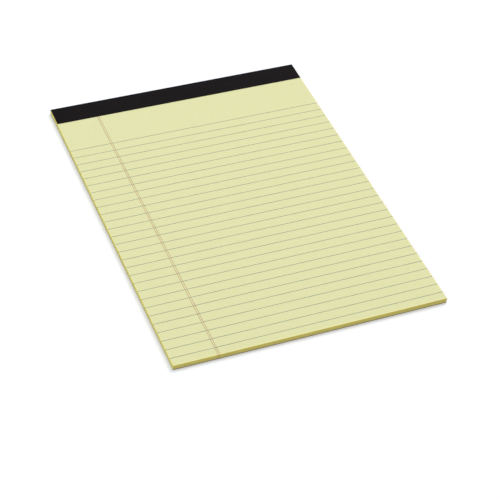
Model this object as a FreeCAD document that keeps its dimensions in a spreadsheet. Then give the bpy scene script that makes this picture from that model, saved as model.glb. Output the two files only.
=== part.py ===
import FreeCAD, Part
import Sketcher

import math
import os

# Legal pad: a block of ruled sheets on a chipboard back, stapled through the stub and bound
# along the top with a tape that wraps over the edge. Millimetres; +X to the right of the page,
# +Y up the page to the binding, +Z out of the page. The origin is the centre of the underside.

doc = FreeCAD.newDocument("legal_pad")
sizes = doc.addObject("Spreadsheet::Sheet", "sizes")

DRIVING_SIZES = [
    ("sheet_width", 215.9, "sheet across the page"),
    ("sheet_length", 298.45, "sheet from the bound edge to the foot"),
    ("sheet_count", 50, "sheets in the block"),
    ("sheet_thickness", 0.071, "one sheet's thickness in the pressed block"),
    ("jog", 0.05, "most that a sheet's edge lies out of line"),
    ("board_thickness", 0.75, "chipboard back"),
    ("tape_thickness", 0.18, "binding tape"),
    ("front_flap", 19.6, "tape on the front, from the bound edge"),
    ("back_flap", 17.0, "tape on the back, from the bound edge"),
    ("fold_radius", 0.25, "inside radius of the tape's two folds"),
    ("crown_relief", 0.1, "how far a staple's crown lifts the tape"),
    ("ridge_slope", 1.0, "length of the tape's slope round a crown"),
    ("perforation_gap", 0.4, "tape's edge to the middle of the perforation"),
    ("slit_length", 1.4, "one cut of the perforation, along the row"),
    ("slit_width", 0.12, "one cut of the perforation, across the row"),
    ("slit_pitch", 2.1, "cut to cut along the perforation"),
    ("staple_count", 4, "staples through the stub"),
    ("staple_drop", 9.5, "bound edge to the row of staples"),
    ("staple_inset", 27.0, "side edge to the middle of the outer staple"),
    ("wire_width", 0.5, "flat staple wire, along the page"),
    ("wire_thickness", 0.4, "flat staple wire, through its bends"),
    ("crown_length", 12.7, "staple, over its legs"),
    ("clinch_length", 4.2, "staple leg folded in at the back"),
    ("bend_radius", 0.3, "inside of each bend of the wire"),
    ("wire_clearance", 0.02, "room round the wire"),
    ("ink_film", 0.01, "height that stands for the print"),
    ("rule_width", 0.4, "printed rule, its width"),
    ("first_rule", 55.5, "bound edge to the first rule"),
    ("rule_pitch", 8.73, "rule to rule"),
    ("foot_margin", 6.0, "least space under the last rule"),
    ("margin_inset", 33.85, "left edge to the first margin line"),
    ("margin_gap", 1.4, "first margin line to the second"),
    ("margin_line_width", 0.35, "printed margin line, its width"),
]
for row, (alias, number, meaning) in enumerate(DRIVING_SIZES, start=1):
    sizes.set("A%d" % row, str(number))
    sizes.setAlias("A%d" % row, alias)
    sizes.set("B%d" % row, meaning)
doc.recompute()

# Places that several pieces share, as expressions on the sheet
RIGHT_EDGE = "(sizes.sheet_width / 2)"
BOUND_EDGE = "(sizes.sheet_length / 2)"
PAGE_TOP = "(sizes.board_thickness + sizes.sheet_count * sizes.sheet_thickness)"
FLAP_EDGE = "(%s - sizes.front_flap)" % BOUND_EDGE

# How far a cutting or trimming shape runs past the piece that it shapes
PAST = 2.0

UPWARD = FreeCAD.Vector(0, 0, 1)


def value(expression):
    return float(sizes.evalExpression(expression))


def bind(thing, **expressions):
    for name, expression in expressions.items():
        thing.setExpression(name, expression)


def place(thing, **expressions):
    for axis, expression in expressions.items():
        thing.setExpression(".Placement.Base." + axis, expression)


def new_block(name, length, width, height, x, y, z):
    block = doc.addObject("Part::Box", name)
    bind(block, Length=length, Width=width, Height=height)
    place(block, x=x, y=y, z=z)
    return block


def origin_of(body, role):
    return next(datum for datum in body.Origin.OriginFeatures if datum.Role == role)


def new_sketch(body, name, plane, offset="0"):
    sketch = body.newObject("Sketcher::SketchObject", name)
    sketch.AttachmentSupport = (origin_of(body, plane), [""])
    sketch.MapMode = "FlatFace"
    sketch.setExpression(".AttachmentOffset.Base.z", offset)
    return sketch


def dimension(sketch, kind, *where, size):
    number = sketch.addConstraint(Sketcher.Constraint(kind, *where, value(size)))
    sketch.setExpression("Constraints[%d]" % number, size)


def join(sketch, kind, one, one_end, other, other_end):
    """Two lines or arcs of a sketch meet, each at its start or its end."""
    point = ["middle", "start", "end"].index
    sketch.addConstraint(Sketcher.Constraint(kind, one, point(one_end), other, point(other_end)))


def draw_square_path(sketch, corners, radii):
    """Closed outline of level and upright lines through corners, each a pair of expressions.

    radii holds the expression of the arc at a rounded corner, by the corner's number. Each
    line's start is held by its distance from the sketch's origin, which is point 1 of -1.
    """
    points = [FreeCAD.Vector(value(x), value(y), 0) for x, y in corners]
    rounding = [value(radii[n]) if n in radii else 0 for n in range(len(points))]
    ways, lines = [], []
    for n, point in enumerate(points):
        after = (n + 1) % len(points)
        way = (points[after] - point).normalize()
        line = Part.LineSegment(point + way * rounding[n], points[after] - way * rounding[after])
        ways.append(way)
        lines.append(sketch.addGeometry(line, False))
        level = abs(way.x) > abs(way.y)
        sketch.addConstraint(Sketcher.Constraint("Horizontal" if level else "Vertical", lines[n]))
        kind, across = ("DistanceY", 1) if level else ("DistanceX", 0)
        dimension(sketch, kind, -1, 1, lines[n], 1, size=corners[n][across])
    for n, point in enumerate(points):
        before, follow = lines[n - 1], lines[n]
        if n not in radii:
            join(sketch, "Coincident", before, "end", follow, "start")
            continue
        leave = point - ways[n - 1] * rounding[n]
        meet = point + ways[n] * rounding[n]
        circle = Part.Circle(leave + ways[n] * rounding[n], UPWARD, rounding[n])
        left_turn = ways[n - 1].cross(ways[n]).z > 0
        first, last = (leave, meet) if left_turn else (meet, leave)
        arc = Part.ArcOfCircle(circle, circle.parameter(first), circle.parameter(last))
        arc = sketch.addGeometry(arc, False)
        near, far = ("start", "end") if left_turn else ("end", "start")
        join(sketch, "Tangent", before, "end", arc, near)
        join(sketch, "Tangent", follow, "start", arc, far)
        dimension(sketch, "Radius", arc, size=radii[n])


def new_strip(label, plane, corners, radii, width):
    """A body of one section, drawn on one of its upright planes and padded level both ways."""
    body = doc.addObject("PartDesign::Body", label)
    section = new_sketch(body, label + "_section", plane)
    draw_square_path(section, corners, radii)
    pad = body.newObject("PartDesign::Pad", label + "_pad")
    pad.Profile = section
    pad.SideType = "Symmetric"
    bind(pad, Length=width)
    body.Tip = pad
    return body


def new_row(label, left, low, right, high, bottom, height, direction, copies, pitch):
    """A body of equal flat bars in a row: one bar, seen from above, and its pattern."""
    body = doc.addObject("PartDesign::Body", label)
    bar = new_sketch(body, label + "_bar", "XY_Plane", bottom)
    draw_square_path(bar, [(left, low), (right, low), (right, high), (left, high)], {})
    pad = body.newObject("PartDesign::Pad", label + "_pad")
    pad.Profile = bar
    bind(pad, Length=height)
    row = body.newObject("PartDesign::LinearPattern", label + "_row")
    row.Originals = [pad]
    row.Direction = (origin_of(body, direction.strip("-")), [""])
    row.Reversed = direction.startswith("-")
    row.Mode = "Spacing"
    bind(row, Occurrences=copies, Offset=pitch)
    body.Tip = row
    return body


# Staples: flat wire bent to a wide crown, driven down through the stub and the board, and
# folded in at the back. The crown stands a little proud of the top sheet, and the folded ends
# are pressed flush into the board. Each wire lies in a channel a hair wider than itself.

CROWN_TOP = "(%s + sizes.crown_relief - sizes.wire_clearance)" % PAGE_TOP
CLINCH_BOTTOM = "(sizes.tape_thickness + sizes.wire_clearance)"
STAPLE_ROW = "(%s - sizes.staple_drop)" % BOUND_EDGE


def new_bent_wire(label, room, x):
    """One staple, or with some room round the wire its channel."""
    outside = "(sizes.crown_length / 2 + %s)" % room
    inside = "(sizes.crown_length / 2 - sizes.wire_thickness - %s)" % room
    leg_end = "(sizes.crown_length / 2 - sizes.clinch_length - %s)" % room
    top = "(%s + %s)" % (CROWN_TOP, room)
    under_crown = "(%s - sizes.wire_thickness - %s)" % (CROWN_TOP, room)
    over_clinch = "(%s + sizes.wire_thickness + %s)" % (CLINCH_BOTTOM, room)
    bottom = "(%s - %s)" % (CLINCH_BOTTOM, room)
    outer_bend = "sizes.bend_radius + sizes.wire_thickness + " + room
    inner_bend = "sizes.bend_radius - " + room
    body = new_strip(
        label,
        "XZ_Plane",
        [
            ("-" + leg_end, bottom),
            ("-" + outside, bottom),
            ("-" + outside, top),
            (outside, top),
            (outside, bottom),
            (leg_end, bottom),
            (leg_end, over_clinch),
            (inside, over_clinch),
            (inside, under_crown),
            ("-" + inside, under_crown),
            ("-" + inside, over_clinch),
            ("-" + leg_end, over_clinch),
        ],
        {**{n: outer_bend for n in range(1, 5)}, **{n: inner_bend for n in range(7, 11)}},
        "sizes.wire_width + 2 * " + room,
    )
    place(body, x=x, y=STAPLE_ROW)
    return body


staples = []
channels = []
for number in range(int(value("sizes.staple_count"))):
    spread = "(sizes.sheet_width - 2 * sizes.staple_inset) / (sizes.staple_count - 1)"
    middle = "sizes.staple_inset - %s + %d * %s" % (RIGHT_EDGE, number, spread)
    name = "staple_%d" % (number + 1)
    staples.append(new_bent_wire(name, "0", middle))
    channels.append(new_bent_wire(name + "_channel", "sizes.wire_clearance", middle))
staple_channels = doc.addObject("Part::Compound", "staple_channels")
staple_channels.Links = channels


# Backing board: stiff grey chipboard, as large as the sheets. The stub was rolled flat with its
# tape, so the back flap lies in a rebate as deep as the tape and the underside is one plane.

board = new_strip(
    "board_blank",
    "YZ_Plane",
    [
        ("-" + BOUND_EDGE, "0"),
        (BOUND_EDGE + " - sizes.back_flap", "0"),
        (BOUND_EDGE + " - sizes.back_flap", "sizes.tape_thickness"),
        (BOUND_EDGE, "sizes.tape_thickness"),
        (BOUND_EDGE, "sizes.board_thickness"),
        ("-" + BOUND_EDGE, "sizes.board_thickness"),
    ],
    {3: "sizes.fold_radius"},
    "sizes.sheet_width",
)
backing_board = doc.addObject("Part::Cut", "backing_board")
backing_board.Base = board
backing_board.Tool = staple_channels


# Sheet block: the sheets lie on each other a hair out of line at the sides and the foot, and
# are trimmed flush at the bound edge, where the tape's fold rounds the top few. The top sheet
# lies true. A row of cuts just below the tape lets each sheet tear off its stub.

SHEET_TURN = 137.5  # degrees from one sheet's way out of line to the next one's

sheets = []
sheet_count = int(value("sizes.sheet_count"))
for number in range(sheet_count):
    turn = math.radians(SHEET_TURN * (sheet_count - 1 - number))
    sheets.append(
        new_block(
            "sheet_%d" % (number + 1),
            "sizes.sheet_width", "sizes.sheet_length + %s" % PAST, "sizes.sheet_thickness",
            "%.4f * sizes.jog - %s" % (math.sin(turn), RIGHT_EDGE),
            "%.4f * sizes.jog - %s" % (math.sin(2 * turn), BOUND_EDGE),
            "sizes.board_thickness + %d * sizes.sheet_thickness" % number,
        )
    )
sheet_stack = doc.addObject("Part::MultiFuse", "sheet_stack")
sheet_stack.Shapes = sheets

trimmed_form = new_strip(
    "trimmed_form",
    "YZ_Plane",
    [
        ("-%s - %s" % (BOUND_EDGE, PAST), "0"),
        (BOUND_EDGE, "0"),
        (BOUND_EDGE, PAGE_TOP),
        ("-%s - %s" % (BOUND_EDGE, PAST), PAGE_TOP),
    ],
    {2: "sizes.fold_radius"},
    "sizes.sheet_width + 2 * %s" % PAST,
)
trimmed_stack = doc.addObject("Part::MultiCommon", "trimmed_stack")
trimmed_stack.Shapes = [sheet_stack, trimmed_form]

SLITS = "(floor((sizes.sheet_width - sizes.slit_pitch) / sizes.slit_pitch) + 1)"
FIRST_SLIT = "(-(%s - 1) * sizes.slit_pitch / 2)" % SLITS
PERFORATION = "(%s - sizes.perforation_gap)" % FLAP_EDGE
perforation_cuts = new_row(
    "perforation_cuts",
    "%s - sizes.slit_length / 2" % FIRST_SLIT, "%s - sizes.slit_width / 2" % PERFORATION,
    "%s + sizes.slit_length / 2" % FIRST_SLIT, "%s + sizes.slit_width / 2" % PERFORATION,
    "0", "%s + %s" % (PAGE_TOP, PAST), "X_Axis", SLITS, "sizes.slit_pitch",
)
block_cuts = doc.addObject("Part::Compound", "block_cuts")
block_cuts.Links = [perforation_cuts, staple_channels]

sheet_block = doc.addObject("Part::Cut", "sheet_block")
sheet_block.Base = trimmed_stack
sheet_block.Tool = block_cuts


# Binding tape: one strip of tape glued round the stub, from the front, over the bound edge and
# onto the board. It climbs over each staple's crown in a low ridge.

TAPE_TOP = "(%s + sizes.tape_thickness)" % PAGE_TOP
OUTER_FOLD = "sizes.fold_radius + sizes.tape_thickness"
RIDGE_HALF_LENGTH = "(sizes.crown_length / 2 + sizes.tape_thickness)"
RIDGE_HALF_WIDTH = "(sizes.wire_width / 2 + sizes.tape_thickness)"
wrapped_tape = new_strip(
    "wrapped_tape",
    "YZ_Plane",
    [
        (FLAP_EDGE, PAGE_TOP),
        (BOUND_EDGE, PAGE_TOP),
        (BOUND_EDGE, "sizes.tape_thickness"),
        (BOUND_EDGE + " - sizes.back_flap", "sizes.tape_thickness"),
        (BOUND_EDGE + " - sizes.back_flap", "0"),
        (BOUND_EDGE + " + sizes.tape_thickness", "0"),
        (BOUND_EDGE + " + sizes.tape_thickness", TAPE_TOP),
        (FLAP_EDGE, TAPE_TOP),
    ],
    {1: "sizes.fold_radius", 2: "sizes.fold_radius", 5: OUTER_FOLD, 6: OUTER_FOLD},
    "sizes.sheet_width",
)
ridges = []
for staple in staples:
    ridge = doc.addObject("Part::Wedge", staple.Name + "_ridge")
    ridge.Placement.Rotation = FreeCAD.Rotation(FreeCAD.Vector(1, 0, 0), 90)
    bind(
        ridge,
        Xmin="-%s - sizes.ridge_slope" % RIDGE_HALF_LENGTH,
        Xmax="%s + sizes.ridge_slope" % RIDGE_HALF_LENGTH,
        Zmin="-%s - sizes.ridge_slope" % RIDGE_HALF_WIDTH,
        Zmax="%s + sizes.ridge_slope" % RIDGE_HALF_WIDTH,
        Ymin="0",
        Ymax="sizes.crown_relief",
        X2min="-" + RIDGE_HALF_LENGTH,
        X2max=RIDGE_HALF_LENGTH,
        Z2min="-" + RIDGE_HALF_WIDTH,
        Z2max=RIDGE_HALF_WIDTH,
    )
    place(ridge, x=staple.Name + ".Placement.Base.x", y=STAPLE_ROW, z=TAPE_TOP)
    ridges.append(ridge)
ridged_tape = doc.addObject("Part::MultiFuse", "ridged_tape")
ridged_tape.Shapes = [wrapped_tape] + ridges
binding_tape = doc.addObject("Part::Cut", "binding_tape")
binding_tape.Base = ridged_tape
binding_tape.Tool = staple_channels


# Print: a double margin line down the left of the page, from the tape to the foot, and rules
# across the whole sheet. Where they cross, the margin line lies on the page.

FIRST_MARGIN = "(sizes.margin_inset - %s)" % RIGHT_EDGE
margin_lines = new_row(
    "margin_lines",
    "%s - sizes.margin_line_width / 2" % FIRST_MARGIN, "-" + BOUND_EDGE,
    "%s + sizes.margin_line_width / 2" % FIRST_MARGIN, FLAP_EDGE,
    PAGE_TOP, "sizes.ink_film", "X_Axis", "2", "sizes.margin_gap",
)
TOP_RULE = "(%s - sizes.first_rule)" % BOUND_EDGE
RULES = "(floor((sizes.sheet_length - sizes.first_rule - sizes.foot_margin) / sizes.rule_pitch) + 1)"
full_rules = new_row(
    "full_rules",
    "-" + RIGHT_EDGE, "%s - sizes.rule_width / 2" % TOP_RULE,
    RIGHT_EDGE, "%s + sizes.rule_width / 2" % TOP_RULE,
    PAGE_TOP, "sizes.ink_film", "-Y_Axis", RULES, "sizes.rule_pitch",
)
ruled_lines = doc.addObject("Part::Cut", "ruled_lines")
ruled_lines.Base = full_rules
ruled_lines.Tool = margin_lines


# Every feature has to have worked before any piece is written.

doc.recompute()
for thing in doc.Objects:
    if "Invalid" in thing.State or "Error" in thing.State:
        raise RuntimeError("%s failed: %s" % (thing.Label, thing.State))

pieces = [backing_board, sheet_block, binding_tape] + staples + [ruled_lines, margin_lines]
os.makedirs("parts", exist_ok=True)
for piece in pieces:
    if piece.Shape.isNull() or not piece.Shape.isValid():
        raise RuntimeError("%s has no sound shape" % piece.Label)
for cut in (backing_board, sheet_block, binding_tape, ruled_lines):
    if cut.Shape.Volume >= cut.Base.Shape.Volume:
        raise RuntimeError("%s took nothing away" % cut.Label)
for piece in pieces:
    piece.Shape.exportStep("parts/%s.step" % piece.Label)
    box = piece.Shape.BoundBox
    print(
        "%-14s %2d solids %9.1f mm3  x %8.2f %8.2f  y %8.2f %8.2f  z %6.3f %6.3f"
        % (
            piece.Label, len(piece.Shape.Solids), piece.Shape.Volume,
            box.XMin, box.XMax, box.YMin, box.YMax, box.ZMin, box.ZMax,
        )
    )
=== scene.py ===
import math

import bpy
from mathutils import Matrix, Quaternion, Vector, noise


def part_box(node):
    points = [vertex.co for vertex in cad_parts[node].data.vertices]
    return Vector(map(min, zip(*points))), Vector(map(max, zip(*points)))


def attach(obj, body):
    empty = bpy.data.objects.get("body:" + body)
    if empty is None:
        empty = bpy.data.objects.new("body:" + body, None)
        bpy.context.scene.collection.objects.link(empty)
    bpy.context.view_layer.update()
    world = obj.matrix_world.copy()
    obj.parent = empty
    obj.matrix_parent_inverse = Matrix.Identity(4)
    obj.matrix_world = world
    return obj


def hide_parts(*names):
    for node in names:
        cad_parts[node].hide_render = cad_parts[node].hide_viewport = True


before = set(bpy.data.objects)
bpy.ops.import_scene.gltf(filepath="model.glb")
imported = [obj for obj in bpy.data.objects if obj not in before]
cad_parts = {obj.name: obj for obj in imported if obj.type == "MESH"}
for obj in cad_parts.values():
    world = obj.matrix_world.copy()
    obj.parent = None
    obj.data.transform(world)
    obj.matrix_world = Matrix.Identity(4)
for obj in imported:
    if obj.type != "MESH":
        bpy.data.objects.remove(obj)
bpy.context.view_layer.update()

# The view. The pad lies on a white table and is seen from its lower left corner, from above, through
# a long lens. Place, aim and lean put the page's four corners where the photograph has them.

MM = 0.001
CAMERA_PLACE = Vector((-390.0, -849.4, 836.28)) * MM
CAMERA_AIM = Vector((-12.77, -56.14, 4.3)) * MM
CAMERA_LEAN = math.radians(5.37)
CAMERA_LENS = 115.09
SENSOR_WIDTH = 36.0

camera_data = bpy.data.cameras.new("camera")
camera_data.lens = CAMERA_LENS
camera_data.sensor_width = SENSOR_WIDTH
camera_data.sensor_fit = "HORIZONTAL"
camera = bpy.data.objects.new("camera", camera_data)
bpy.context.scene.collection.objects.link(camera)
camera.location = CAMERA_PLACE
level_view = (CAMERA_AIM - CAMERA_PLACE).to_track_quat("-Z", "Y")
camera.rotation_mode = "QUATERNION"
camera.rotation_quaternion = level_view @ Quaternion((0, 0, 1), CAMERA_LEAN)
bpy.context.scene.camera = camera

# The backing board. A sheet of grey-brown chipboard, pressed from waste paper, as large as the
# sheets. Its bound end is stepped and rounded for the tape. It keeps its shape from the frame.

BOARD = (0.480, 0.415, 0.300, 1)
BOARD_DARK = (0.270, 0.215, 0.145, 1)
BOARD_PALE = (0.640, 0.585, 0.460, 1)
# the board's cut edge: partly the chipboard's own grey-brown, partly painted shade, darker than cut
# chipboard is
BOARD_CUT_AND_SHADE = (0.270, 0.210, 0.125, 1)
BOARD_BITS = (0.130, 0.140, 0.150, 1)
PLY = 0.11 * MM


class Shade:
    """A socket in a material's node tree. Arithmetic on it adds Math nodes to the tree."""

    def __init__(self, tree, socket=None):
        self.tree = tree
        self.socket = socket

    def node(self, kind, settings, inputs, output=0):
        """Add a node: its settings go in first, then the values or links of its sockets."""
        made = self.tree.nodes.new("ShaderNode" + kind)
        for name, value in settings.items():
            setattr(made, name, value)
        for name, value in inputs.items():
            if isinstance(value, Shade):
                self.tree.links.new(value.socket, made.inputs[name])
            else:
                made.inputs[name].default_value = value
        return Shade(self.tree, made.outputs[output] if made.outputs else None)

    def math(self, operation, *values):
        return self.node("Math", {"operation": operation}, dict(enumerate(values)))

    def __add__(self, other):
        return self.math("ADD", self, other)

    __radd__ = __add__

    def __mul__(self, other):
        return self.math("MULTIPLY", self, other)

    __rmul__ = __mul__

    def __sub__(self, other):
        return self.math("SUBTRACT", self, other)

    def __rsub__(self, other):
        return self.math("SUBTRACT", other, self)

    def __truediv__(self, other):
        return self.math("DIVIDE", self, other)

    def __gt__(self, other):
        return self.math("GREATER_THAN", self, other)

    def __lt__(self, other):
        return self.math("LESS_THAN", self, other)

    def __abs__(self):
        return self.math("ABSOLUTE", self)

    def part(self, axis):
        """The X, Y or Z of this vector."""
        return self.node("SeparateXYZ", {}, {"Vector": self}, axis)

    def floor(self):
        return self.math("FLOOR", self)

    def fraction(self):
        return self.math("FRACT", self)

    def ramp(self, start, stop, low=0.0, high=1.0):
        """Low below start, high above stop, and a smooth slope between."""
        limits = {"From Min": start, "From Max": stop, "To Min": low, "To Max": high}
        return self.node("MapRange", {"interpolation_type": "SMOOTHSTEP"}, {"Value": self, **limits})

    def mix(self, first, second):
        """Colour first where this value is 0, colour second where it is 1."""
        return self.node("Mix", {"data_type": "RGBA"}, {0: self, 6: first, 7: second}, 2)

    def dimmed(self, share):
        """This colour times a number."""
        grey = self.node("CombineColor", {}, {"Red": share, "Green": share, "Blue": share})
        settings = {"data_type": "RGBA", "blend_type": "MULTIPLY"}
        return self.node("Mix", settings, {0: 1.0, 6: self, 7: grey}, 2)

    def grains(self, x, y, z, detail=2.0, roughness=0.5):
        """Smooth noise about 0.5 on this place, with grains of the given sizes in millimetres."""
        counts = (1 / (x * MM), 1 / (y * MM), 1 / (z * MM))
        counted = self.node("VectorMath", {"operation": "MULTIPLY"}, {0: self, 1: counts})
        settled = {"Vector": counted, "Scale": 1.0, "Detail": detail, "Roughness": roughness}
        return self.node("TexNoise", {}, settled)

    def relief(self, depth, below=None):
        """A bumped normal from this height, which is worth depth millimetres."""
        inputs = {"Height": self, "Strength": 1.0, "Distance": depth * MM}
        if below is not None:
            inputs["Normal"] = below
        return self.node("Bump", {}, inputs)


def new_material(name):
    """An empty material, the root of its tree, and the place on the piece as a vector."""
    material = bpy.data.materials.new(name)
    material.use_nodes = True
    material.node_tree.nodes.clear()
    root = Shade(material.node_tree)
    return material, root, root.node("TexCoord", {}, {}, "Object")


def finish_surface(root, **sockets):
    """Close a tree with one shader. Socket names have their spaces written as underscores."""
    inputs = {name.replace("_", " "): value for name, value in sockets.items()}
    shader = root.node("BsdfPrincipled", {}, inputs)
    root.node("OutputMaterial", {}, {"Surface": shader})


chipboard, root, place = new_material("chipboard")
cloudy = place.grains(9, 7, 3, 3.0)
pulp = place.grains(0.9, 0.55, 0.25, 4.0, 0.65)
fibres = place.grains(0.18, 1.9, 0.1)
shreds = place.grains(2.4, 0.24, 0.1)
flecks = place.grains(0.9, 0.7, 0.12, 1.0)
plies = (place.part("Z") / PLY + 0.6 * pulp).fraction().ramp(0.0, 0.5, 0.82, 1.0)
facing = root.node("NewGeometry", {}, {}, "True Normal")
on_edge = abs(facing.part("Z")) < 0.5
colour = (pulp.ramp(0.3, 0.7) * 0.30 + cloudy.ramp(0.3, 0.7) * 0.25).mix(BOARD, BOARD_DARK)
colour = (fibres.ramp(0.60, 0.70) * 0.75).mix(colour, BOARD_PALE)
colour = (shreds.ramp(0.62, 0.72) * 0.70).mix(colour, BOARD_PALE)
colour = (flecks.ramp(0.68, 0.72) * 0.75).mix(colour, BOARD_DARK)
colour = (flecks.ramp(0.30, 0.26) * 0.60).mix(colour, BOARD_BITS)
# The cut edges turn towards a dark brown: partly the board's own edge colour, partly painted shade.
colour = (on_edge * 0.75).mix(colour, BOARD_CUT_AND_SHADE)
colour = colour.dimmed(1 - on_edge * (1 - plies))
finish_surface(
    root,
    Base_Color=colour,
    Roughness=0.82 + 0.12 * pulp,
    Specular_IOR_Level=0.3,
    Normal=(pulp + 0.6 * fibres + 0.4 * shreds).relief(0.02),
)

board_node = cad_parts["backing_board"]
board_node.data.materials.clear()
board_node.data.materials.append(chipboard)

# The staples. Four flat galvanised steel wires, driven through the stub from the front and
# clinched on the back of the board, under the tape. They keep their shape from the frame.

STEEL = (0.52, 0.52, 0.53, 1)
STEEL_DARK = (0.34, 0.35, 0.37, 1)

galvanised, root, place = new_material("galvanised_steel")
drawn = place.grains(0.9, 0.9, 0.05, 3.0)
spangle = place.grains(0.35, 0.35, 0.35)
finish_surface(
    root,
    Base_Color=(spangle * 0.5).mix(STEEL, STEEL_DARK),
    Metallic=1.0,
    Roughness=0.26 + 0.16 * drawn,
    Normal=drawn.relief(0.004),
)

staple_names = sorted(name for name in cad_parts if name.startswith("staple"))
for name in staple_names:
    staple_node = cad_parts[name]
    staple_node.data.materials.clear()
    staple_node.data.materials.append(galvanised)

# The writing sheets. Fifty sheets of thin uncoated yellow paper, cut together on a guillotine, so
# their edges stand in line to within a hair. A row of fine slits below the tape lets them tear off.
# Along the cut edges, most at the foot, the rim of the page is painted a little yellower: painted light
# for the light that enters at the cut edges.

SHEET_COUNT = 50
SLIT_SHEETS = 6  # the top sheets, whose slits can be seen and whose corners lift
AIR = 0.06  # share of a sheet's room that is air, above it and below it
JOG = 0.036 * MM
JOG_TURN = math.radians(137.5)
RIPPLE = 0.012 * MM
SIDE_RIPPLE_LENGTH = 11 * MM
FOOT_RIPPLE_LENGTH = 9 * MM
FOOT_SEED = 90
WAVE = 0.012 * MM
WAVE_LENGTH = 23 * MM
WAVE_CHANGE = 0.21  # how far the wave moves on from one sheet to the next
EDGE_STEP = 6.0 * MM
RING = 3.0 * MM
SAME_PLACE = 1e-7  # places that are nearer than this are one
SEED_ROWS = 7.31  # how far apart the rows of noise lie that two seeds pick
NOISE_PLANE = 3.17
SLITS_A_COLUMN = 3  # a column of the page's faces ends at every third slit
SLIT_ROOM = 2.0 * MM
SLIT_PITCH = 2.1 * MM
SLIT_LENGTH = 1.4 * MM
SLIT_WIDTH = 0.12 * MM
SLIT_BELOW_TAPE = 0.4 * MM
FOLD_RADIUS = 0.25 * MM
CORNER_LIFT = 0.17 * MM
CORNER_REACH = 42 * MM
LEFT_CORNER_SHARE = 0.45
LEFT_CORNER_REACH = 0.7 * CORNER_REACH
LIFT_FADE = 1.6  # the power by which the lift fades from the top sheet to the lower ones
PAPER = (0.775, 0.769, 0.427, 1)
PAPER_DEEP = (0.735, 0.715, 0.350, 1)
PAPER_PALE = (0.850, 0.845, 0.520, 1)
# painted light: the brighter, yellower colour of the page's rim near the cut edges
PAPER_RIM_LIGHT = (0.865, 0.815, 0.370, 1)
FOOT_RIM_LIGHT = 2.0 * MM
SIDE_RIM_LIGHT = 0.9 * MM

board_low, board_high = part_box("backing_board")
rules_low, rules_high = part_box("ruled_lines")
half_width = board_high.x
foot_edge = board_low.y
bound_edge = board_high.y
tape_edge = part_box("binding_tape")[0].y
board_top = board_high.z
page_top = rules_low.z
sheet_room = (page_top - board_top) / SHEET_COUNT
slit_line = tape_edge - SLIT_BELOW_TAPE
top_sheet = SHEET_COUNT - 1


def steps(start, stop, step):
    """Evenly spaced values from start to stop, about a step apart."""
    count = max(1, round(abs(stop - start) / step))
    return [start + (stop - start) * n / count for n in range(count + 1)]


slit_count = math.floor((2 * half_width - SLIT_PITCH) / SLIT_PITCH)
slit_ends = []
for n in range(slit_count):
    middle = (n - (slit_count - 1) / 2) * SLIT_PITCH
    slit_ends += [middle - SLIT_LENGTH / 2, middle + SLIT_LENGTH / 2]


class Layout:
    """The places and polygons of a sheet as seen from above."""

    def __init__(self):
        self.places = []
        self.polygons = []
        self.known = {}

    def at(self, x, y):
        key = round(x / SAME_PLACE), round(y / SAME_PLACE)
        if key not in self.known:
            self.known[key] = len(self.places)
            self.places.append((x, y))
        return self.known[key]

    def add(self, *corners):
        self.polygons.append([self.at(x, y) for x, y in corners])

    def rim(self):
        """The steps of polygon outlines that no other polygon shares."""
        ways = {way for polygon in self.polygons for way in zip(polygon, polygon[1:] + polygon[:1])}
        return [(a, b) for a, b in sorted(ways) if (b, a) not in ways]


def slit_layout():
    """A sheet with its row of slits: a coarse page, and fine columns along the slits."""
    layout = Layout()
    fine = [-half_width, *slit_ends, half_width]
    last = len(fine) - 1
    coarse = sorted({0, last, *range(1, last, 2 * SLITS_A_COLUMN), last - 1})
    low, high = slit_line - SLIT_WIDTH / 2, slit_line + SLIT_WIDTH / 2
    rows = steps(foot_edge, low - SLIT_ROOM, EDGE_STEP)
    for left, right in zip(coarse, coarse[1:]):
        x0, x1 = fine[left], fine[right]
        for y0, y1 in zip(rows, rows[1:]):
            layout.add((x0, y0), (x1, y0), (x1, y1), (x0, y1))
        between = fine[left:right + 1]
        layout.add((x0, rows[-1]), (x1, rows[-1]), *[(x, low) for x in reversed(between)])
        layout.add(*[(x, high) for x in between], (x1, bound_edge), (x0, bound_edge))
    for n in range(0, last, 2):
        layout.add((fine[n], low), (fine[n + 1], low), (fine[n + 1], high), (fine[n], high))
    return layout


def plain_layout():
    """A sheet of which only the edges show: a ring of small faces round one large one."""
    layout = Layout()
    left, right = -half_width, half_width
    corners = [(left, foot_edge), (right, foot_edge), (right, bound_edge), (left, bound_edge)]
    outline = []
    for (x0, y0), (x1, y1) in zip(corners, corners[1:] + corners[:1]):
        count = len(steps(0, abs(x1 - x0) + abs(y1 - y0), EDGE_STEP)) - 1
        outline += [(x0 + (x1 - x0) * n / count, y0 + (y1 - y0) * n / count) for n in range(count)]
    inner_x, inner_low, inner_high = half_width - RING, foot_edge + RING, bound_edge - RING
    inner = [(max(-inner_x, min(inner_x, x)), max(inner_low, min(inner_high, y))) for x, y in outline]
    for n in range(len(outline)):
        after = (n + 1) % len(outline)
        layout.add(outline[n], outline[after], inner[after], inner[n])
    layout.add(*inner)
    return layout


def wander(seed, along, length):
    """Smooth noise from -1 to 1 along a line. The seed picks the line."""
    return noise.noise(Vector((along / length, SEED_ROWS * seed, NOISE_PLANE)))


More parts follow.
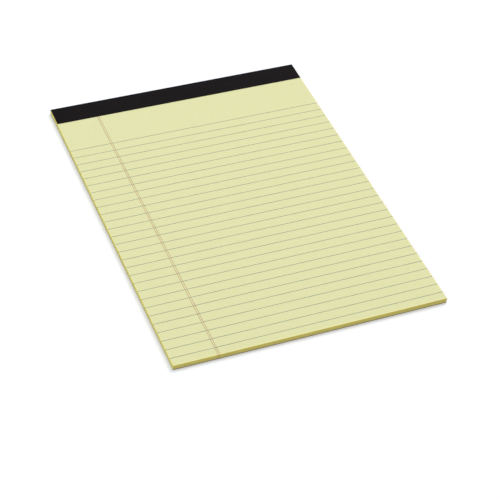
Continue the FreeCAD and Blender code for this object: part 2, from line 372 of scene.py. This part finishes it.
def sheet_place(number, x, y):
    """A place on a sheet, moved by the sheet's jog and by the ripple of the cut."""
    turn = JOG_TURN * (top_sheet - number)
    moved_x, moved_y = x, y
    if abs(x) > half_width - SAME_PLACE:
        moved_x += JOG * math.sin(turn) + RIPPLE * wander(number, y, SIDE_RIPPLE_LENGTH)
    if y < foot_edge + SAME_PLACE:
        moved_y += JOG * math.sin(2 * turn) + RIPPLE * wander(number + FOOT_SEED, x, FOOT_RIPPLE_LENGTH)
    if y > bound_edge - SAME_PLACE:
        above = max(0.0, board_top + (number + 1) * sheet_room - (page_top - FOLD_RADIUS))
        moved_y -= FOLD_RADIUS - math.sqrt(max(0.0, FOLD_RADIUS ** 2 - above ** 2))
    return moved_x, moved_y


def sheet_level(number, boundary, x, y):
    """The height of a boundary between sheets, as sheet number meets it."""
    beside = max(0.0, min(half_width - abs(x), y - foot_edge))
    nearness = max(0.0, 1 - beside / RING) * (y < slit_line)
    wave = noise.noise(Vector((x / WAVE_LENGTH, y / WAVE_LENGTH, WAVE_CHANGE * boundary)))
    level = board_top + boundary * sheet_room
    level += WAVE * nearness * math.sin(math.pi * boundary / SHEET_COUNT) * wave
    share = max(0.0, 1 - (top_sheet - number) / (SLIT_SHEETS - 1)) ** LIFT_FADE
    right = math.hypot(x - half_width, y - foot_edge) / CORNER_REACH
    left = math.hypot(x + half_width, y - foot_edge) / LEFT_CORNER_REACH
    lift = math.exp(-right * right) + LEFT_CORNER_SHARE * math.exp(-left * left)
    return level + CORNER_LIFT * share * lift


def page_level(x, y):
    """The face of the top sheet."""
    return sheet_level(top_sheet, SHEET_COUNT, x, y)


def new_piece(name, vertices, faces, materials, face_materials=None, smooth=None):
    """A mesh object that rides on the body, smoothed where its faces turn less than smooth degrees."""
    mesh = bpy.data.meshes.new(name)
    mesh.from_pydata(vertices, [], faces)
    for material in materials:
        mesh.materials.append(material)
    if face_materials is not None:
        mesh.polygons.foreach_set("material_index", face_materials)
    if smooth is not None:
        mesh.shade_smooth()
        mesh.set_sharp_from_angle(angle=math.radians(smooth))
    mesh.update()
    piece = bpy.data.objects.new(name, mesh)
    bpy.context.scene.collection.objects.link(piece)
    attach(piece, "root")
    return piece


vertices, faces, face_materials = [], [], []
slit_sheet, plain_sheet = slit_layout(), plain_layout()
slit_rim, plain_rim = slit_sheet.rim(), plain_sheet.rim()
for number in range(SHEET_COUNT):
    slitted = number >= SHEET_COUNT - SLIT_SHEETS
    layout, rim = (slit_sheet, slit_rim) if slitted else (plain_sheet, plain_rim)
    first, count = len(vertices), len(layout.places)
    for boundary, gap in ((number, AIR), (number + 1, 0.0 if number == top_sheet else -AIR)):
        for x, y in layout.places:
            level = sheet_level(number, boundary, x, y) + gap * sheet_room
            vertices.append((*sheet_place(number, x, y), level))
    for polygon in layout.polygons:
        faces.append([first + n for n in reversed(polygon)])
        faces.append([first + count + n for n in polygon])
        face_materials += [0, 0]
    for a, b in rim:
        faces.append([first + a, first + b, first + count + b, first + count + a])
        face_materials.append(1)

page_paper, root, place = new_material("page_paper")
across, along = place.part("X"), place.part("Y")
formation = place.grains(5.5, 5.5, 5.5, 3.0, 0.6)
tooth = place.grains(0.22, 0.28, 0.22, 4.0, 0.6)
felt = place.grains(1.6, 0.13, 1.0)
hairs = place.grains(0.15, 1.1, 1.0)
colour = (formation.ramp(0.3, 0.7) * 0.25).mix(PAPER, PAPER_DEEP)
colour = (tooth.ramp(0.42, 0.70) * 0.42).mix(colour, PAPER_DEEP)
colour = (felt.ramp(0.58, 0.72) * 0.50).mix(colour, PAPER_PALE)
colour = (hairs.ramp(0.60, 0.74) * 0.45).mix(colour, PAPER_PALE)
# Painted light: the page turns towards a brighter yellow near the foot and the side edges.
to_rim_light = root.math("MINIMUM", (half_width - abs(across)) / SIDE_RIM_LIGHT, (along - foot_edge) / FOOT_RIM_LIGHT)
colour = to_rim_light.ramp(0.2, 1.0, 0.75, 0.0).mix(colour, PAPER_RIM_LIGHT)
finish_surface(
    root,
    Base_Color=colour,
    Roughness=0.80 + 0.14 * tooth,
    Specular_IOR_Level=0.22,
    Normal=(tooth + 0.5 * felt + 0.5 * hairs).relief(0.016, formation.relief(0.03)),
)

# The cut edges are deeper in colour than the page, because light passes from sheet to sheet there.
# The knife leaves fine upright strokes, and print that runs off the page marks the edge it reaches.

EDGE = (0.800, 0.675, 0.150, 1)
EDGE_DEEP = (0.530, 0.415, 0.066, 1)
EDGE_PALE = (0.900, 0.825, 0.340, 1)
RULE_INK = (0.045, 0.088, 0.150, 1)
MARGIN_INK = (0.380, 0.080, 0.050, 1)
RULE_COUNT = 28
RULE_WIDTH = 0.4 * MM
MARGIN_WIDTH = 0.35 * MM
TICK_HALF_WIDTH = 0.6 * MARGIN_WIDTH
EDGE_SKIN = 0.2 * MM

margin_low, margin_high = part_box("margin_lines")
first_rule = rules_high.y - RULE_WIDTH / 2
rule_pitch = (rules_high.y - rules_low.y - RULE_WIDTH) / (RULE_COUNT - 1)
margins = (margin_low.x + MARGIN_WIDTH / 2, margin_high.x - MARGIN_WIDTH / 2)

cut_edge, root, place = new_material("cut_edge")
across, along = place.part("X"), place.part("Y")
sheets_up = (place.part("Z") - board_top) / sheet_room
own_tone = root.node("TexWhiteNoise", {"noise_dimensions": "1D"}, {"W": sheets_up.floor()})
# Painted shade: each sheet's cut edge is darkened towards its top and bottom, where the gaps between
# sheets are.
painted_gap_shade = abs(sheets_up.fraction() - 0.5).ramp(0.30, 0.5)
strokes = place.grains(0.35, 0.35, 9.0, 3.0, 0.7)
bundles = place.grains(14.0, 14.0, 0.6, 3.0, 0.6)
rag = place.grains(0.5, 0.5, 0.05)
colour = (own_tone * 0.34).mix(EDGE, EDGE_DEEP)
colour = (bundles.ramp(0.35, 0.68) * 0.38).mix(colour, EDGE_DEEP)
colour = (strokes.ramp(0.52, 0.75) * 0.42).mix(colour, EDGE_PALE)
colour = (rag.ramp(0.55, 0.75) * 0.30).mix(colour, EDGE_PALE)
colour = (painted_gap_shade * 0.45).mix(colour, EDGE_DEEP)
rule_step = ((first_rule - along) / rule_pitch + 0.5).fraction() - 0.5
on_rule = (abs(rule_step) < 0.5 * RULE_WIDTH / rule_pitch) * (along < first_rule + RULE_WIDTH)
on_side = abs(across) > half_width - EDGE_SKIN
colour = (on_rule * on_side * (0.25 + 0.45 * rag)).mix(colour, RULE_INK)
by_margin = (abs(across - margins[0]) < TICK_HALF_WIDTH) + (abs(across - margins[1]) < TICK_HALF_WIDTH)
at_foot = along < foot_edge + EDGE_SKIN
colour = (by_margin * at_foot * (0.30 + 0.55 * rag)).mix(colour, MARGIN_INK)
finish_surface(
    root,
    Base_Color=colour,
    Roughness=0.78 + 0.18 * rag,
    Specular_IOR_Level=0.2,
    Normal=(strokes + 0.7 * rag).relief(0.02),
)

sheets = new_piece("loose_sheets", vertices, faces, [page_paper, cut_edge], face_materials)
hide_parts("sheet_block")

# The blue rules. Twenty-eight thin lines, printed across the whole sheet before it is cut, each
# broken where the margin lines cross it. The ink lies a little unevenly on the rough paper.

FILM = 0.010 * MM
INK_STEP = 2.5 * MM
INK_WOBBLE = 0.012 * MM
INK_WOBBLE_LENGTH = 6 * MM
INK_SWELL = 0.035 * MM
INK_SWELL_LENGTH = 3 * MM
INK_SPREAD = 0.8  # ink spreads more often than it shrinks
SWELL_SEED = 40
RULE_COVER = 0.88
INK_SMOOTHING = 30


def add_line(vertices, faces, seed, start, stop, centre, width, upright):
    """A printed line as a thin closed strip that follows the page, with a slightly uneven edge."""
    first = len(vertices)
    places = steps(start, stop, INK_STEP)
    for n, reach in enumerate(places):
        shift = INK_WOBBLE * wander(seed, reach, INK_WOBBLE_LENGTH)
        swell = wander(seed + SWELL_SEED, reach, INK_SWELL_LENGTH) + INK_SPREAD
        half = 0.5 * width + 0.5 * INK_SWELL * swell
        for lift, side in ((0, -half), (0, half), (FILM, half), (FILM, -half)):
            x, y = (centre + shift + side, reach) if upright else (reach, centre + shift + side)
            vertices.append((x, y, page_level(x, y) + lift))
    for n in range(len(places) - 1):
        for k in range(4):
            a, b = first + 4 * n + k, first + 4 * n + (k + 1) % 4
            faces.append([b, a, a + 4, b + 4] if upright else [a, b, b + 4, a + 4])
    ends = [[first + k for k in (3, 2, 1, 0)], [len(vertices) - 4 + k for k in (0, 1, 2, 3)]]
    faces.extend([end[::-1] for end in ends] if upright else ends)


def new_ink(name, ink, density):
    """Matte printing ink, thinner where the paper's grain takes it badly."""
    material, root, place = new_material(name)
    taken = place.grains(0.30, 0.30, 0.30, 3.0, 0.6)
    strength = place.grains(16, 16, 16)
    cover = density * (taken.ramp(0.22, 0.50, 0.55, 1.0) * strength.ramp(0.3, 0.7, 0.88, 1.0))
    finish_surface(
        root,
        Base_Color=cover.mix(PAPER, ink),
        Roughness=0.70 + 0.2 * taken,
        Specular_IOR_Level=0.25,
        Normal=taken.relief(0.006),
    )
    return material


vertices, faces = [], []
clear_of_margins = [(margin - MARGIN_WIDTH / 2, margin + MARGIN_WIDTH / 2) for margin in margins]
breaks = [-half_width, *[end for ends in clear_of_margins for end in ends], half_width]
for n in range(RULE_COUNT):
    for k in (0, 2, 4):
        centre = first_rule - n * rule_pitch
        add_line(vertices, faces, 3 * n + k, breaks[k], breaks[k + 1], centre, RULE_WIDTH, False)
blue_ink = new_ink("rule_ink", RULE_INK, RULE_COVER)
rules = new_piece("blue_rules", vertices, faces, [blue_ink], smooth=INK_SMOOTHING)
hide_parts("ruled_lines")

# The margin lines. Two thin red lines down the left of the sheet, from the tape to the foot,
# printed in the same pass as the rules.

MARGIN_SEED = 200
MARGIN_COVER = 0.78

vertices, faces = [], []
for n, margin in enumerate(margins):
    add_line(vertices, faces, MARGIN_SEED + n, margin_low.y, margin_high.y, margin, MARGIN_WIDTH, True)
red_ink = new_ink("margin_ink", MARGIN_INK, MARGIN_COVER)
margin_lines = new_piece("red_margin", vertices, faces, [red_ink], smooth=INK_SMOOTHING)
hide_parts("margin_lines")

# The binding tape. One strip of black coated paper tape, glued to the stub on the front, folded
# round the bound edge and glued to the back of the board. The staples' crowns lift it in four ridges.

TAPE = (0.0063, 0.0046, 0.0054, 1)
TAPE_WORN = (0.0105, 0.0084, 0.0094, 1)
TAPE_THICKNESS = 0.18 * MM
CROWN_LIFT = 0.1 * MM
CROWN_HALF_LENGTH = 6.37 * MM
CROWN_HALF_WIDTH = 0.27 * MM
RIDGE_SLOPE = 1.0 * MM
BACK_FLAP = 17.0 * MM
FLAP_STEP = 2.0 * MM
BACK_STEP = 4.0 * MM
SPINE_STEP = 0.8 * MM
RIDGE_STEP = 0.16 * MM
COLUMN_STEP = 4.0 * MM
RISE_STEP = 0.2 * MM
FOLD_STEPS = 7
TAPE_SMOOTHING = 40
FOLD_WEAR = 0.4 * MM
WEAR_START = 1.5 * MM  # up or down from half the pad's height
WEAR_FULL = 2.2 * MM

staple_boxes = [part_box(name) for name in staple_names]
crown_middles = sorted((low.x + high.x) / 2 for low, high in staple_boxes)
crown_low, crown_high = staple_boxes[0]
crown_line = (crown_low.y + crown_high.y) / 2


def slope(distance, half_size):
    """1 over a crown, falling smoothly to 0 beside it."""
    beside = max(0.0, min(1.0, (abs(distance) - half_size) / RIDGE_SLOPE))
    return 0.5 + 0.5 * math.cos(math.pi * beside)


def ridge(x, y):
    """How far the crowns lift the tape."""
    lifts = [slope(x - middle, CROWN_HALF_LENGTH) for middle in crown_middles]
    return CROWN_LIFT * max(lifts) * slope(y - crown_line, CROWN_HALF_WIDTH)


near_crown = CROWN_HALF_WIDTH + RIDGE_SLOPE
flap_rows = steps(tape_edge, crown_line - near_crown, FLAP_STEP)
flap_rows += steps(crown_line - near_crown, crown_line + near_crown, RIDGE_STEP)[1:]
fold_start = bound_edge - FOLD_RADIUS
flap_rows += steps(crown_line + near_crown, fold_start, FLAP_STEP)[1:]
back_rows = steps(fold_start, bound_edge - BACK_FLAP, BACK_STEP)[1:]
quarter = [math.pi / 2 * n / FOLD_STEPS for n in range(1, FOLD_STEPS + 1)]


def tape_line(radius, front, back):
    """The strip's line from the front flap, round both folds, to the edge of the back flap."""
    line = [(y, front) for y in flap_rows]
    line += [(fold_start + radius * math.sin(t), front - radius + radius * math.cos(t)) for t in quarter]
    line += [(fold_start + radius, z) for z in steps(front - radius, back + radius, SPINE_STEP)[1:]]
    line += [(fold_start + radius * math.cos(t), back + radius - radius * math.sin(t)) for t in quarter]
    return line + [(y, back) for y in back_rows]


columns = [-half_width]
for middle in crown_middles:
    for end in (-CROWN_HALF_LENGTH, CROWN_HALF_LENGTH):
        rise, fall = middle + end - RIDGE_SLOPE, middle + end + RIDGE_SLOPE
        columns += steps(columns[-1], rise, COLUMN_STEP)[1:]
        columns += steps(rise, fall, RISE_STEP)[1:]
columns += steps(columns[-1], half_width, COLUMN_STEP)[1:]

vertices, faces = [], []
outside = tape_line(FOLD_RADIUS + TAPE_THICKNESS, page_top + TAPE_THICKNESS, 0.0)
inside = tape_line(FOLD_RADIUS, page_top, TAPE_THICKNESS)
loop = outside + inside[::-1]
for x in columns:
    for y, z in loop:
        lift = ridge(x, y) if z >= page_top else 0.0
        vertices.append((x, y, z + lift))
around = len(loop)
for n in range(len(columns) - 1):
    for k in range(around):
        a, b = n * around + k, n * around + (k + 1) % around
        faces.append([a, a + around, b + around, b])
last_column = (len(columns) - 1) * around
for k in range(len(outside) - 1):
    strip_end = [k, k + 1, around - 2 - k, around - 1 - k]
    faces.append(strip_end)
    faces.append([last_column + n for n in reversed(strip_end)])

tape_coat, root, place = new_material("tape_coat")
weave = place.grains(0.35, 0.22, 0.3, 3.0, 0.55)
pores = place.grains(0.12, 0.12, 0.12)
smears = place.grains(18, 6, 3, 3.0)
off_middle = abs(place.part("Z") - page_top / 2)
folded = (place.part("Y") - fold_start).ramp(0.0, FOLD_WEAR) * off_middle.ramp(WEAR_START, WEAR_FULL)
colour = (smears.ramp(0.35, 0.7) * 0.5).mix(TAPE, TAPE_WORN)
colour = (folded * weave.ramp(0.45, 0.7) * 0.7).mix(colour, TAPE_WORN)
finish_surface(
    root,
    Base_Color=colour,
    Roughness=0.50 + 0.12 * smears + 0.08 * weave,
    Specular_IOR_Level=0.03,
    Normal=(weave + 0.4 * pores).relief(0.020),
)

tape = new_piece("tape_strip", vertices, faces, [tape_coat], smooth=TAPE_SMOOTHING)
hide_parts("binding_tape")

# The table. A plain white top that the pad lies on, so bright that only the pad's soft shadow shows
# on it. Away from the pad it fades into the white of the room.

TABLE_HALF = 6.0
TABLE_DROP = 0.02 * MM
TABLE = (0.90, 0.905, 0.945, 1)
WHITE = (1, 1, 1, 1)
TABLE_GLOW = 0.165
SHADOW_REACH = 0.3

table_mesh = bpy.data.meshes.new("table")
corners = [(x * TABLE_HALF, y * TABLE_HALF, -TABLE_DROP) for x, y in ((-1, -1), (1, -1), (1, 1), (-1, 1))]
table_mesh.from_pydata(corners, [], [[0, 1, 2, 3]])
table = bpy.data.objects.new("table", table_mesh)
bpy.context.scene.collection.objects.link(table)

white, root, place = new_material("white_table")
matte = root.node("BsdfDiffuse", {}, {"Color": TABLE})
glow = root.node("Emission", {}, {"Color": WHITE, "Strength": TABLE_GLOW})
lifted = root.node("AddShader", {}, {0: matte, 1: glow})
bare = root.node("Emission", {}, {"Color": WHITE, "Strength": 1.0})
distance = root.node("VectorMath", {"operation": "LENGTH"}, {0: place}, "Value")
away = distance.ramp(SHADOW_REACH, 2 * SHADOW_REACH)
pictured = root.node("MixShader", {}, {0: away, 1: lifted, 2: bare})
seen = root.node("LightPath", {}, {}, "Is Camera Ray")
surface = root.node("MixShader", {}, {0: seen, 1: matte, 2: pictured})
root.node("OutputMaterial", {}, {"Surface": surface})
table_mesh.materials.append(white)

# The light. One large soft lamp high on the right and behind the pad, a weak cool one low on the left
# that lights the cut edges there, and an even white room.

ROOM = 0.57
ROOM_TINT = (0.95, 0.97, 1.0, 1)
LAMPS = {
    "main_lamp": {"place": (1.76, 1.44, 3.04), "size": 2.4, "power": 77.5, "tint": (1.0, 0.99, 1.0)},
    "side_lamp": {"place": (-1.7, -0.2, 0.4), "size": 0.8, "power": 11.0, "tint": (0.85, 0.98, 1.0)},
}

for name, lamp in LAMPS.items():
    lamp_data = bpy.data.lights.new(name, "AREA")
    lamp_data.shape = "SQUARE"
    lamp_data.size = lamp["size"]
    lamp_data.energy = lamp["power"]
    lamp_data.color = lamp["tint"]
    lamp_object = bpy.data.objects.new(name, lamp_data)
    lamp_object.location = lamp["place"]
    lamp_object.rotation_mode = "QUATERNION"
    lamp_object.rotation_quaternion = (-Vector(lamp["place"])).to_track_quat("-Z", "Y")
    bpy.context.scene.collection.objects.link(lamp_object)

world = bpy.data.worlds.new("room")
bpy.context.scene.world = world
world.use_nodes = True
world.node_tree.nodes.clear()
root = Shade(world.node_tree)
ray_kinds = ("Is Camera Ray", "Is Glossy Ray", "Is Transmission Ray")
direct = sum(root.node("LightPath", {}, {}, kind) for kind in ray_kinds)
fill = root.node("Background", {}, {"Color": ROOM_TINT, "Strength": ROOM})
plain_white = root.node("Background", {}, {"Color": WHITE, "Strength": 1.0})
surround = root.node("MixShader", {}, {0: direct, 1: fill, 2: plain_white})
root.node("OutputWorld", {}, {"Surface": surround})

bpy.context.scene.view_settings.view_transform = "Standard"
